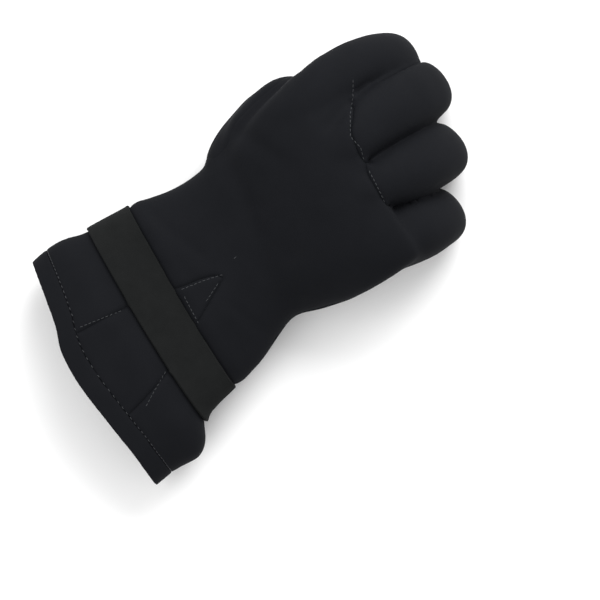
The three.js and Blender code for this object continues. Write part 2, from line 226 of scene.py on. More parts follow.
class GloveSizes(bpy.types.PropertyGroup):
    length: bpy.props.FloatProperty(
        name="Length", description="Rim to fingertips, as it lies", default=0.277, unit="LENGTH"
    )
    width: bpy.props.FloatProperty(
        name="Hand width", description="Across the knuckles", default=0.124, unit="LENGTH"
    )
    loft: bpy.props.FloatProperty(
        name="Loft", description="Height that the tables are shares of", default=0.072, unit="LENGTH"
    )
    wall: bpy.props.FloatProperty(
        name="Wall", description="Thickness of the neoprene", default=0.0042, unit="LENGTH"
    )
    index: bpy.props.FloatProperty(
        name="Index", description="Width of the index finger", default=0.0305, unit="LENGTH"
    )
    middle: bpy.props.FloatProperty(
        name="Middle", description="Width of the middle finger", default=0.0325, unit="LENGTH"
    )
    ring: bpy.props.FloatProperty(
        name="Ring", description="Width of the ring finger", default=0.031, unit="LENGTH"
    )
    little: bpy.props.FloatProperty(
        name="Little", description="Width of the little finger", default=0.032, unit="LENGTH"
    )
    thumb: bpy.props.FloatProperty(
        name="Thumb", description="Width of the thumb", default=0.031, unit="LENGTH"
    )
    thickness: bpy.props.FloatProperty(
        name="Finger thickness", description="Back to front of a finger", default=0.027, unit="LENGTH"
    )
    spread: bpy.props.FloatProperty(
        name="Spread",
        description="How much wider a finger is below its middle",
        default=0.0014,
        unit="LENGTH",
    )
    voxel: bpy.props.FloatProperty(
        name="Mesh size", description="Size of the skin's faces", default=0.0011, unit="LENGTH"
    )
    groove_depth: bpy.props.FloatProperty(
        name="Seam depth", description="How far a sewn seam pulls in", default=0.0016, unit="LENGTH"
    )
    groove_width: bpy.props.FloatProperty(
        name="Seam width", description="Half width of the pulled strip", default=0.0012, unit="LENGTH"
    )
    shift_x: bpy.props.FloatProperty(
        name="Shift across", description="From the tables to the frame", default=0.00195, unit="LENGTH"
    )
    shift_y: bpy.props.FloatProperty(
        name="Shift along", description="From the tables to the frame", default=-0.13889, unit="LENGTH"
    )


class StrapSizes(bpy.types.PropertyGroup):
    width: bpy.props.FloatProperty(
        name="Width", description="Width of the tape", default=0.028, unit="LENGTH"
    )
    thickness: bpy.props.FloatProperty(
        name="Thickness", description="Hook layer and nap together", default=0.0024, unit="LENGTH"
    )
    corner: bpy.props.FloatProperty(
        name="Corner", description="Radius of the free end's corners", default=0.007, unit="LENGTH"
    )
    sink: bpy.props.FloatProperty(
        name="Sink", description="How far the tape presses into the cuff", default=0.0008, unit="LENGTH"
    )


class StitchSizes(bpy.types.PropertyGroup):
    pitch: bpy.props.FloatProperty(
        name="Pitch", description="From one stitch to the next", default=0.0026, unit="LENGTH"
    )
    length: bpy.props.FloatProperty(
        name="Length", description="Length of a stitch", default=0.0019, unit="LENGTH"
    )
    thread: bpy.props.FloatProperty(
        name="Thread", description="Diameter of the thread", default=0.0004, unit="LENGTH"
    )


class GloveColours(bpy.types.PropertyGroup):
    neoprene: bpy.props.StringProperty(
        name="Neoprene", description="Nylon face, sRGB hex", default="101114"
    )
    neoprene_light: bpy.props.StringProperty(
        name="Neoprene, light", description="Where the jersey is stretched", default="16171a"
    )
    palm: bpy.props.StringProperty(name="Palm", description="Ground of the knit", default="1b1c19")
    palm_light: bpy.props.StringProperty(
        name="Palm, light", description="Ribs of the knit", default="3d3e38"
    )
    tape: bpy.props.StringProperty(name="Tape", description="Loop tape", default="141515")
    tape_light: bpy.props.StringProperty(
        name="Tape, light", description="Nap of the loop tape", default="1c1d1d"
    )
    thread: bpy.props.StringProperty(name="Thread", description="Seam thread", default="2b2d30")
    floor: bpy.props.StringProperty(name="Floor", description="Plain pale floor", default="fafafa")


def linear(text):
    """An sRGB hex colour as linear RGBA."""
    out = []
    for start in (0, 2, 4):
        value = int(text[start : start + 2], 16) / 255
        out.append(value / 12.92 if value <= 0.04045 else ((value + 0.055) / 1.055) ** 2.4)
    return (*out, 1.0)


def add_node(tree, kind, **values):
    """A node with its settings and its unlinked inputs."""
    made = tree.nodes.new(kind)
    for key, value in values.items():
        if key in made.inputs:
            made.inputs[key].default_value = value
        else:
            setattr(made, key, value)
    return made


def new_material(name):
    """An empty node material with its Principled shader."""
    material = bpy.data.materials.get(name)
    if material:
        return material, None, None
    material = bpy.data.materials.new(name)
    material.use_nodes = True
    tree = material.node_tree
    return material, tree, tree.nodes["Principled BSDF"]


def spline(rows, share):
    """The row at a share of the table, on a smooth curve through its rows."""
    place = min(max(share, 0.0), 1.0) * (len(rows) - 1)
    i = min(int(place), len(rows) - 2)
    t = place - i
    rows4 = [rows[min(max(k, 0), len(rows) - 1)] for k in (i - 1, i, i + 1, i + 2)]
    out = []
    for a, b, c, d in zip(*rows4):
        out.append(
            0.5 * (2 * b + (c - a) * t + (2 * a - 5 * b + 4 * c - d) * t * t
                   + (3 * b - a - 3 * c + d) * t ** 3)
        )
    return out


def line_at(line, x):
    """The share along the glove of a plan line at a share across it, on a smooth curve."""
    x = min(max(x, line[0][0]), line[-1][0])
    i = next(k for k in range(len(line) - 1) if x <= line[k + 1][0] or k == len(line) - 2)

    def slope(k):
        a, b = line[max(k - 1, 0)], line[min(k + 1, len(line) - 1)]
        return (b[1] - a[1]) / (b[0] - a[0])

    (x0, y0), (x1, y1) = line[i], line[i + 1]
    wide = x1 - x0
    t = (x - x0) / wide
    return (
        y0 * (1 + 2 * t) * (1 - t) ** 2
        + slope(i) * wide * t * (1 - t) ** 2
        + y1 * t * t * (3 - 2 * t)
        + slope(i + 1) * wide * t * t * (t - 1)
    )


def hand_row(at):
    """The hand's row at a share of the length."""
    for i in range(len(HAND) - 1):
        if at <= HAND[i + 1][0]:
            t = (at - HAND[i][0]) / (HAND[i + 1][0] - HAND[i][0])
            return spline(HAND, (i + max(t, 0.0)) / (len(HAND) - 1))
    return list(HAND[-1])


def hand_station(sizes, at):
    """Centre, side and up directions and half sizes of the hand's section."""
    row = hand_row(at)
    centre = Vector(
        (
            row[1] * sizes.width + sizes.shift_x,
            at * sizes.length + sizes.shift_y,
            (row[3] + row[4]) / 2 * sizes.loft,
        )
    )
    half = (row[2] / 2 * sizes.width, (row[3] - row[4]) / 2 * sizes.loft, row[5], 0.0)
    return centre, Vector((1, 0, 0)), Vector((0, 0, 1)), half


def digit_station(sizes, name, share):
    """Centre, side and up directions and half sizes of a digit's section."""
    rows = DIGITS[name]

    def centre_at(part):
        row = spline(rows, part)
        return Vector(
            (
                row[1] * sizes.width + sizes.shift_x,
                row[0] * sizes.length + sizes.shift_y,
                row[2] * sizes.loft,
            )
        )

    step = 0.01
    along = (centre_at(min(share + step, 1)) - centre_at(max(share - step, 0))).normalized()
    side = (Vector((1, 0, 0)) - along * along.x).normalized()
    row = spline(rows, share)
    finger = name not in ("thumb", "web")
    half = (
        max(row[3] / 2 * getattr(sizes, "thumb" if name == "web" else name), LEAST_HALF),
        max(row[4] / 2 * sizes.thickness, LEAST_HALF),
        2.2,
    )
    return centre_at(share), side, side.cross(along), (*half, sizes.spread if finger else 0.0)


def on_section(station, turn, grow=0.0):
    """A point of a section's superellipse, turn 0 at its low-x side and a quarter turn at its top.
    The last of its sizes is how much wider it is below its middle."""
    centre, side, up, (wide, high, square, low) = station
    c, s = math.cos(turn), math.sin(turn)
    power = 2 / square
    return (
        centre
        - side * math.copysign(abs(c) ** power, c) * (wide + grow + low * max(-s, 0.0) * 2)
        + up * math.copysign(abs(s) ** power, s) * (high + grow)
    )


def next_ring(bm, ring):
    """Extrudes a ring of edges, and gives the new ring and its vertices."""
    made = bmesh.ops.extrude_edge_only(bm, edges=ring)["geom"]
    verts = [g for g in made if isinstance(g, bmesh.types.BMVert)]
    fresh = set(verts)
    edges = [g for g in made if isinstance(g, bmesh.types.BMEdge)]
    return [e for e in edges if e.verts[0] in fresh and e.verts[1] in fresh], verts


def smooth_out(bm, verts, rounds, low=None):
    """Averages the places of vertices, and keeps them from going under a height."""
    for _ in range(rounds):
        bmesh.ops.smooth_vert(
            bm, verts=verts, factor=0.5, use_axis_x=True, use_axis_y=True, use_axis_z=True
        )
        if low is not None:
            for v in verts:
                v.co.z = max(v.co.z, low)


def add_tube(bm, stations, segments):
    """A capped tube through sections: a circle extruded from each to the next."""
    turn = bm.verts.layers.float["turn"]
    verts = bmesh.ops.create_circle(bm, cap_ends=True, segments=segments, radius=1.0)["verts"]
    for v in verts:
        v[turn] = math.atan2(v.co.y, v.co.x)
    first = set(verts)
    ring = [e for e in bm.edges if e.verts[0] in first and e.verts[1] in first]
    for i, station in enumerate(stations):
        if i:
            ring, verts = next_ring(bm, ring)
        for v in verts:
            v.co = on_section(station, v[turn])
    bmesh.ops.contextual_create(bm, geom=ring)
    return verts


def link(name, bm):
    """A new object from a bmesh, at the origin."""
    mesh = bpy.data.meshes.new(name)
    bm.to_mesh(mesh)
    bm.free()
    obj = bpy.data.objects.new(name, mesh)
    bpy.context.scene.collection.objects.link(obj)
    return obj


def settle(obj):
    """Applies an object's modifiers."""
    graph = bpy.context.evaluated_depsgraph_get()
    mesh = bpy.data.meshes.new_from_object(obj.evaluated_get(graph))
    obj.modifiers.clear()
    old = obj.data
    obj.data = mesh
    bpy.data.meshes.remove(old)


def voxelled(obj, size):
    """Merges what overlaps in an object into one even skin."""
    remesh = obj.modifiers.new("skin", "REMESH")
    remesh.mode = "VOXEL"
    remesh.voxel_size = size
    settle(obj)


def finish_piece(obj, material, slot, *nodes):
    """Shading, material and the CAD nodes that a piece stands for."""
    obj.data.materials.clear()
    obj.data.materials.append(material)
    obj.data.polygons.foreach_set("use_smooth", [True] * len(obj.data.polygons))
    obj.data.set_sharp_from_angle(angle=math.radians(55))
    if nodes:
        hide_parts(*nodes)
    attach(obj, "root")


def neoprene_material(colours):
    """Nylon jersey glued on foam: fine wales, a dull bluish sheen, soft uneven tone."""
    material, tree, shader = new_material("nylon_faced_neoprene")
    if tree is None:
        return material
    place = add_node(tree, "ShaderNodeTexCoord")
    broad = add_node(tree, "ShaderNodeTexNoise", Scale=38.0, Detail=4.0, Roughness=0.6)
    fine = add_node(tree, "ShaderNodeTexVoronoi", Scale=1500.0)
    fuzz = add_node(tree, "ShaderNodeTexNoise", Scale=900.0, Detail=2.0)
    tone = add_node(tree, "ShaderNodeMix", data_type="RGBA")
    tone.inputs[6].default_value = linear(colours.neoprene)
    tone.inputs[7].default_value = linear(colours.neoprene_light)
    knit = add_node(tree, "ShaderNodeBump", Strength=0.25, Distance=0.00012)
    pile = add_node(tree, "ShaderNodeBump", Strength=0.2, Distance=0.0001)
    for texture in (broad, fine, fuzz):
        tree.links.new(place.outputs["Object"], texture.inputs["Vector"])
    tree.links.new(broad.outputs["Fac"], tone.inputs[0])
    tree.links.new(fine.outputs["Distance"], knit.inputs["Height"])
    tree.links.new(fuzz.outputs["Fac"], pile.inputs["Height"])
    tree.links.new(knit.outputs["Normal"], pile.inputs["Normal"])
    tree.links.new(tone.outputs[2], shader.inputs["Base Color"])
    tree.links.new(pile.outputs["Normal"], shader.inputs["Normal"])
    shader.inputs["Roughness"].default_value = 0.78
    shader.inputs["Specular IOR Level"].default_value = 0.05
    shader.inputs["Sheen Weight"].default_value = 0.008
    shader.inputs["Sheen Roughness"].default_value = 0.5
    shader.inputs["Sheen Tint"].default_value = linear("8a90a0")
    return material


def palm_material(colours):
    """Reinforced knit: short raised ribs about 1.4 mm apart, light flecks on a dark ground."""
    material, tree, shader = new_material("reinforced_palm_knit")
    if tree is None:
        return material
    place = add_node(tree, "ShaderNodeTexCoord")
    longer = add_node(tree, "ShaderNodeMapping")
    longer.inputs["Scale"].default_value = (1.0, 0.55, 1.0)
    ribs = add_node(tree, "ShaderNodeTexVoronoi", Scale=720.0, Randomness=0.7)
    flecks = add_node(tree, "ShaderNodeTexNoise", Scale=620.0, Detail=3.0, Roughness=0.7)
    broad = add_node(tree, "ShaderNodeTexNoise", Scale=60.0, Detail=2.0)
    rise = add_node(tree, "ShaderNodeMapRange")
    rise.inputs["From Min"].default_value = 0.55
    rise.inputs["From Max"].default_value = 0.1
    picked = add_node(tree, "ShaderNodeMath", operation="MULTIPLY")
    strength = add_node(tree, "ShaderNodeMapRange")
    strength.inputs["From Min"].default_value = 0.42
    strength.inputs["From Max"].default_value = 0.68
    tone = add_node(tree, "ShaderNodeMix", data_type="RGBA")
    tone.inputs[6].default_value = linear(colours.palm)
    tone.inputs[7].default_value = linear(colours.palm_light)
    bump = add_node(tree, "ShaderNodeBump", Strength=0.9, Distance=0.0004)
    tree.links.new(place.outputs["Object"], longer.inputs["Vector"])
    tree.links.new(longer.outputs["Vector"], ribs.inputs["Vector"])
    tree.links.new(place.outputs["Object"], flecks.inputs["Vector"])
    tree.links.new(place.outputs["Object"], broad.inputs["Vector"])
    tree.links.new(ribs.outputs["Distance"], rise.inputs["Value"])
    tree.links.new(flecks.outputs["Fac"], strength.inputs["Value"])
    tree.links.new(rise.outputs["Result"], picked.inputs[0])
    tree.links.new(strength.outputs["Result"], picked.inputs[1])
    tree.links.new(picked.outputs["Value"], tone.inputs[0])
    tree.links.new(rise.outputs["Result"], bump.inputs["Height"])
    tree.links.new(tone.outputs[2], shader.inputs["Base Color"])
    tree.links.new(bump.outputs["Normal"], shader.inputs["Normal"])
    shader.inputs["Roughness"].default_value = 0.9
    shader.inputs["Specular IOR Level"].default_value = 0.08
    return material


def tape_material(colours):
    """Brushed loop tape: a matt greenish black nap with fine uneven tufts."""
    material, tree, shader = new_material("brushed_loop_tape")
    if tree is None:
        return material
    place = add_node(tree, "ShaderNodeTexCoord")
    tufts = add_node(tree, "ShaderNodeTexNoise", Scale=1100.0, Detail=3.0, Roughness=0.7)
    broad = add_node(tree, "ShaderNodeTexNoise", Scale=90.0, Detail=3.0, Roughness=0.65)
    tone = add_node(tree, "ShaderNodeMix", data_type="RGBA")
    tone.inputs[6].default_value = linear(colours.tape)
    tone.inputs[7].default_value = linear(colours.tape_light)
    bump = add_node(tree, "ShaderNodeBump", Strength=0.7, Distance=0.0003)
    for texture in (tufts, broad):
        tree.links.new(place.outputs["Object"], texture.inputs["Vector"])
    tree.links.new(broad.outputs["Fac"], tone.inputs[0])
    tree.links.new(tufts.outputs["Fac"], bump.inputs["Height"])
    tree.links.new(tone.outputs[2], shader.inputs["Base Color"])
    tree.links.new(bump.outputs["Normal"], shader.inputs["Normal"])
    shader.inputs["Roughness"].default_value = 0.95
    shader.inputs["Specular IOR Level"].default_value = 0.05
    shader.inputs["Sheen Weight"].default_value = 0.01
    shader.inputs["Sheen Roughness"].default_value = 0.6
    return material


def thread_material(colours):
    """Twisted polyester seam thread, slightly glossy."""
    material, tree, shader = new_material("polyester_thread")
    if tree is None:
        return material
    place = add_node(tree, "ShaderNodeTexCoord")
    twist = add_node(tree, "ShaderNodeTexNoise", Scale=2500.0, Detail=1.0)
    bump = add_node(tree, "ShaderNodeBump", Strength=0.4, Distance=0.0001)
    tree.links.new(place.outputs["Object"], twist.inputs["Vector"])
    tree.links.new(twist.outputs["Fac"], bump.inputs["Height"])
    tree.links.new(bump.outputs["Normal"], shader.inputs["Normal"])
    shader.inputs["Base Color"].default_value = linear(colours.thread)
    shader.inputs["Roughness"].default_value = 0.6
    return material


def make_form(sizes):
    """The hand, the cuff and the five digits merged into one smooth skin."""
    bm = bmesh.new()
    bm.verts.layers.float.new("turn")
    steps = 90
    first, last = HAND[0][0], HAND[-1][0]
    made = set(bm.verts)
    add_tube(
        bm,
        [hand_station(sizes, first + (last - first) * i / steps) for i in range(steps + 1)],
        112,
    )
    for v in bm.verts:
        if v not in made:
            x = (v.co.x - sizes.shift_x) / sizes.width
            v.co.y = min(v.co.y, line_at(CROTCH, x) * sizes.length + sizes.shift_y)
    for name in DIGITS:
        count = 48
        add_tube(bm, [digit_station(sizes, name, i / count) for i in range(count + 1)], 56)
    bmesh.ops.recalc_face_normals(bm, faces=bm.faces)
    obj = link("glove_form", bm)
    voxelled(obj, sizes.voxel)
    return obj


def nearest_panels(points):
    """How far each point's place on the CAD surface is from each panel, in metres."""
    trees = []
    for name in PANELS:
        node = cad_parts[name]
        mesh = node.data
        trees.append(
            BVHTree.FromPolygons([v.co for v in mesh.vertices], [p.vertices for p in mesh.polygons])
        )
    out = np.full((len(points), len(PANELS)), REACH)
    for i, point in enumerate(points):
        found = [tree.find_nearest(point, REACH) for tree in trees]
        best = min((hit for hit in found if hit[0]), key=lambda hit: hit[3], default=None)
        place = best[0] if best else point
        for k, tree in enumerate(trees):
            if found[k][0] is None:
                continue
            hit = tree.find_nearest(place, REACH)
            if hit[0]:
                out[i, k] = hit[3]
    return out


def averaged(values, edges, count, rounds):
    """Averages values over a mesh's edges."""
    degree = np.bincount(edges.ravel(), minlength=count)[:, None]
    for _ in range(rounds):
        total = np.zeros_like(values)
        for k in range(values.shape[1]):
            total[:, k] = np.bincount(edges[:, 0], values[edges[:, 1], k], count)
            total[:, k] += np.bincount(edges[:, 1], values[edges[:, 0], k], count)
        values = 0.5 * values + 0.5 * total / np.maximum(degree, 1)
    return values


def cut_along(bm, field, keep):
    """Cuts the faces that keep allows along field 0, and gives the ones below it."""
    for v in bm.verts:
        if abs(v[field]) < SNAP:
            v[field] = 0.0
    split = {}
    for e in bm.edges:
        a, b = e.verts[0][field], e.verts[1][field]
        if a * b < 0 and any(keep(f) for f in e.link_faces):
            split[e] = a / (a - b)
    made = bmesh.ops.bisect_edges(bm, edges=list(split), cuts=1, edge_percents=split)
    for g in made["geom_split"]:
        if isinstance(g, bmesh.types.BMVert):
            g[field] = 0.0
    line = [v for v in bm.verts if v[field] == 0.0 and any(keep(f) for f in v.link_faces)]
    bmesh.ops.connect_verts(bm, verts=line)
    return [f for f in bm.faces if keep(f) and sum(v[field] for v in f.verts) < 0]


def dent(point, row, facing):
    """How deep one soft dent is at a point."""
    x0, y0, x1, y1, depth, half, side = row
    if facing * side < 0.15:
        return 0.0
    x, y = point.x / MILLIMETRE, point.y / MILLIMETRE
    dx, dy = x1 - x0, y1 - y0
    length = math.hypot(dx, dy)
    t = ((x - x0) * dx + (y - y0) * dy) / length / length
    off = abs((x - x0) * dy - (y - y0) * dx) / length
    past = max(-t, t - 1, 0.0) * length
    return depth * MILLIMETRE * math.exp(-((off / half) ** 2) - (past / (2 * half)) ** 2)


class MESH_OT_glove_panels(bpy.types.Operator):
    """Makes the sewn neoprene and knit panels"""

    bl_idname = "mesh.glove_panels"
    bl_label = "Glove panels"

    def execute(self, context):
        sizes = context.scene.glove_sizes
        strap = context.scene.glove_strap
        form = make_form(sizes)
        bm = bmesh.new()
        bm.from_mesh(form.data)
        bpy.data.objects.remove(form)
        smooth_out(bm, bm.verts, FORM_ROUNDS, low=0.0)
        bm.normal_update()
        for v in bm.verts:
            v.co += v.normal * FORM_GROWTH
            v.co.z = max(v.co.z, 0.0)

        # Which panel each place belongs to.
        bm.verts.ensure_lookup_table()
        bm.verts.index_update()
        count = len(bm.verts)
        far = nearest_panels([v.co.copy() for v in bm.verts])
        # The bulge at the thumb's root is smooth neoprene wherever it shows from above.
        palm = PANELS.index("palm_panel")
        for i, v in enumerate(bm.verts):
            if v.co.x < BULGE[0] and BULGE[1] < v.co.y < BULGE[2] and v.normal.z > 0.0:
                far[i, palm] += REACH
        edges = np.array([[e.verts[0].index, e.verts[1].index] for e in bm.edges])
        far = averaged(far, edges, count, OWNER_ROUNDS)
        layers = [bm.verts.layers.float.new("far_" + name) for name in PANELS]
        field = bm.verts.layers.float.new("field")
        owner = bm.faces.layers.int.new("owner")
        bm.verts.ensure_lookup_table()
        for i, v in enumerate(bm.verts):
            for k, layer in enumerate(layers):
                v[layer] = far[i, k]
            x = (v.co.x - sizes.shift_x) / sizes.width
            v[field] = v.co.y - (line_at(RIM, x) * sizes.length + sizes.shift_y)
        gone = cut_along(bm, field, lambda f: True)
        bmesh.ops.delete(bm, geom=gone, context="FACES")
        last = len(PANELS) - 1
        for f in bm.faces:
            f[owner] = last
        for k in range(last):
            for v in bm.verts:
                others = min(v[layer] for layer in layers[k + 1 :])
                v[field] = (v[layers[k]] - others) / 2
            for f in cut_along(bm, field, lambda f: f[owner] == last):
                f[owner] = k

        # Seams pull the skin in, and the strap presses it.
        seam = [v for v in bm.verts if len({f[owner] for f in v.link_faces}) > 1]
        tree = kdtree.KDTree(len(seam))
        shallow = {}
        for i, v in enumerate(seam):
            tree.insert(v.co, i)
            shallow[i] = min(SEAM_PULL.get(PANELS[f[owner]], 1.0) for f in v.link_faces)
        tree.balance()
        bm.normal_update()
        normals = [v.normal.copy() for v in seam]
        moves = {}
        for v in bm.verts:
            place, i, gap = tree.find(v.co)
            move = 0.0
            x = (v.co.x - sizes.shift_x) / sizes.width
            low = line_at(STRAP, x) * sizes.length + sizes.shift_y
            beyond = max(low - v.co.y, v.co.y - low - strap.width)
            if gap < 5 * sizes.groove_width and v.normal.dot(normals[i]) > 0:
                free = 1 / (1 + math.exp(-beyond / GROOVE_FADE))
                move -= free * shallow[i] * sizes.groove_depth * math.exp(-gap / sizes.groove_width)
            for row in DENTS:
                move -= dent(v.co, row, v.normal.z)
            share = min(max((v.co.y - low) / strap.width, 0.0), 1.0)
            press = strap.sink * (0.5 + 1.5 * share)
            move -= press / (1 + math.exp(beyond / PRESS_FADE))
            if beyond > 0 and share > 0.5:
                away, half, height = SWELL
                move += height * strap.sink * math.exp(-(((beyond - away) / half) ** 2))
            for height, scale in UNEVEN:
                move += height * noise.noise(v.co * scale)
            moves[v] = move
        for v, move in moves.items():
            v.co += v.normal * move
            v.co.z = max(v.co.z, 0.0)
        strips = {k for k, name in enumerate(PANELS) if name.startswith("fourchette")}
        folds = [v for v in bm.verts if any(f[owner] in strips for f in v.link_faces)]
        smooth_out(bm, folds, FOLD_ROUNDS)
        bm.normal_update()

        # One object for each panel.
        skin = neoprene_material(context.scene.glove_colours)
        knit = palm_material(context.scene.glove_colours)
        whole = bpy.data.meshes.new("glove_skin")
        bm.to_mesh(whole)
        context.scene["glove_skin"] = whole.name
        for k, name in enumerate(PANELS):
            piece = bm.copy()
            kind = piece.faces.layers.int["owner"]
            others = [f for f in piece.faces if f[kind] != k]
            bmesh.ops.delete(piece, geom=others, context="FACES")
            obj = link("panel_" + name, piece)
            if not obj.data.polygons:
                raise RuntimeError(name + " has no faces")
            wall = obj.modifiers.new("wall", "SOLIDIFY")
            wall.thickness = sizes.wall
            wall.offset = -1
            settle(obj)
            if name == "cuff_hem":
                voxelled(obj, HEM_VOXEL)
                soft = obj.modifiers.new("fold", "SMOOTH")
                soft.iterations = HEM_ROUNDS
                settle(obj)
            helpers = ("far_", "field", "turn")
            for key in [k for k in obj.data.attributes.keys() if k.startswith(helpers)]:
                obj.data.attributes.remove(obj.data.attributes[key])
            knitted = name in KNIT_PANELS
            finish_piece(obj, knit if knitted else skin, "palm_knit" if knitted else "neoprene", name)
        bm.free()
        return {"FINISHED"}


def skin_tree(context):
    """The finished skin, for what lies on it."""
    mesh = bpy.data.meshes[context.scene["glove_skin"]]
    return BVHTree.FromPolygons([v.co for v in mesh.vertices], [p.vertices for p in mesh.polygons])


def on_skin(tree, point, lift):
    """The point over the skin nearest to a point, and the skin's normal there."""
    place, normal, _, _ = tree.find_nearest(point)
    return place + normal * lift, normal


class MESH_OT_glove_strap(bpy.types.Operator):
    """Makes the hook-and-loop strap round the cuff"""

    bl_idname = "mesh.glove_strap"
    bl_label = "Wrist strap"

    def execute(self, context):
        sizes = context.scene.glove_sizes
        strap = context.scene.glove_strap
        tree = skin_tree(context)
        steps = 260
        bm = bmesh.new()
        turn = bm.verts.layers.float.new("turn")
        verts = bmesh.ops.create_circle(bm, cap_ends=False, segments=48, radius=1.0)["verts"]
        for v in verts:
            v[turn] = math.atan2(v.co.y, v.co.x)
        ring = list(bm.edges)
        for i in range(steps + 1):
            if i:
                ring, verts = next_ring(bm, ring)
            for v in verts:
                c, s = math.cos(v[turn]), math.sin(v[turn])
                across = math.copysign(abs(c) ** TAPE_SQUARE, c) * strap.width / 2
                high = math.copysign(abs(s) ** TAPE_SQUARE, s) * strap.thickness / 2
                v.co = strap_point(sizes, strap, tree, 2 * math.pi * i / steps, across, high)
        bmesh.ops.remove_doubles(bm, verts=bm.verts, dist=0.00001)
        bmesh.ops.recalc_face_normals(bm, faces=bm.faces)
        obj = link("loop_strap", bm)
        finish_piece(
            obj, tape_material(context.scene.glove_colours), "strap_loop", "wrist_strap"
        )
        return {"FINISHED"}


def strap_point(sizes, strap, tree, angle, across, high):
    """A point of the strap: how far round, how far across, and how far from its middle layer."""
    guess = on_section(hand_station(sizes, 0.22), angle)
    x = (guess.x - sizes.shift_x) / sizes.width
    at = line_at(STRAP, x) + (strap.width / 2 + across) / sizes.length
    point = on_section(hand_station(sizes, at), angle)
    place, normal = on_skin(tree, point, 0.0)
    out = place + normal * (TAPE_GAP + strap.thickness / 2 + high)
    out.z = max(out.z, TAPE_FLOOR)
    return out


class MESH_OT_glove_strap_end(bpy.types.Operator):
    """Makes the strap's free end, which laps over the strap on the palm side"""

    bl_idname = "mesh.glove_strap_end"
    bl_label = "Strap end"

    def execute(self, context):
        sizes = context.scene.glove_sizes
        strap = context.scene.glove_strap
        tree = skin_tree(context)
        start, end = END_TURNS
        half = strap.width / 2 - END_LESS
        bm = bmesh.new()
        bmesh.ops.create_grid(bm, x_segments=80, y_segments=36, size=1.0)
        low = strap_point(sizes, strap, tree, start, 0.0, 0.0)
        high = strap_point(sizes, strap, tree, end, 0.0, 0.0)
        reach = (high - low).length * END_CURVE
        for v in bm.verts:
            u, w = (v.co.x + 1) / 2, v.co.y
            left = (1 - u) * reach
            inside = half
            if left < strap.corner:
                inside -= strap.corner - math.sqrt(
                    max(strap.corner ** 2 - (strap.corner - left) ** 2, 0.0)
                )
            rise = min(u / 0.3, 1.0)
            rise = rise * rise * (3 - 2 * rise)
            lift = strap.thickness / 2 + 0.00005 + rise * (strap.thickness + 0.0002)
            v.co = strap_point(
                sizes, strap, tree, start + (end - start) * u, w * inside, lift
            )
        # The tape is stiff, so it bridges the groove that the strap's edge presses into the skin.
        smooth_out(bm, bm.verts, END_ROUNDS)
        for v in bm.verts:
            v.co.z = max(v.co.z, TAPE_FLOOR)
        bmesh.ops.recalc_face_normals(bm, faces=bm.faces)
        # The end lies on the palm side, so its outer face looks down and its wall goes up.
        if sum(f.normal.z * f.calc_area() for f in bm.faces) > 0:
            bmesh.ops.reverse_faces(bm, faces=bm.faces)
        obj = link("loop_strap_end", bm)
        wall = obj.modifiers.new("tape", "SOLIDIFY")
        wall.thickness = strap.thickness * 0.95
        wall.offset = -1
        soft = obj.modifiers.new("edge", "BEVEL")
        soft.width = 0.0005
        soft.segments = 2
        soft.limit_method = "ANGLE"
        soft.angle_limit = math.radians(50)
        settle(obj)
        finish_piece(obj, tape_material(context.scene.glove_colours), "strap_loop", "strap_end")
        return {"FINISHED"}


# Rows of stitches on the back, in millimetres over the frame: points of the line.
THREADS = {
    "gusset": (
        ((-25.0, -117.0), (-22.0, -105.0), (-19.0, -93.0)),
        ((33.3, -113.0), (29.5, -105.0), (24.5, -94.0)),
        ((-8.4, -57.3), (-5.0, -44.0), (-1.1, -32.5)),
        ((-5.2, -22.5), (-5.2, -20.0)),
        ((1.3, -40.0), (5.6, -51.8)),
        ((-3.5, -59.4), (12.4, -61.7)),
    ),
    "knuckle": (
        ((-46.4, 90.7), (-39.7, 85.8), (-31.5, 77.7), (-21.4, 70.4), (-13.0, 71.5), (-5.9, 68.9)),
        ((1.0, 67.7), (15.8, 65.3), (19.2, 64.6)),
    ),
}


def dense(points, pitch):
    """Places a pitch apart along a line, with the direction at each."""
    out = []
    carry = 0.0
    for (x0, y0), (x1, y1) in zip(points, points[1:]):
        length = math.hypot(x1 - x0, y1 - y0)
        at = carry
        while at < length:
            t = at / length
            out.append((x0 + (x1 - x0) * t, y0 + (y1 - y0) * t, math.atan2(y1 - y0, x1 - x0)))
            at += pitch
        carry = at - length
    return out


def add_stitch(bm, place, normal, along, sizes, lean):
    """One stitch: a small rounded length of thread half sunk in the skin."""
    verts = bmesh.ops.create_icosphere(bm, subdivisions=2, radius=1.0)["verts"]
    along = (along - normal * along.dot(normal)).normalized()
    side = normal.cross(along)
    along = (along + side * lean).normalized()
    side = normal.cross(along)
    for v in verts:
        x, y, z = v.co
        x = math.copysign(abs(x) ** 0.7, x)
        v.co = (
            place
            + along * x * sizes.length / 2
            + side * y * sizes.thread / 2
            + normal * z * sizes.thread / 2
        )


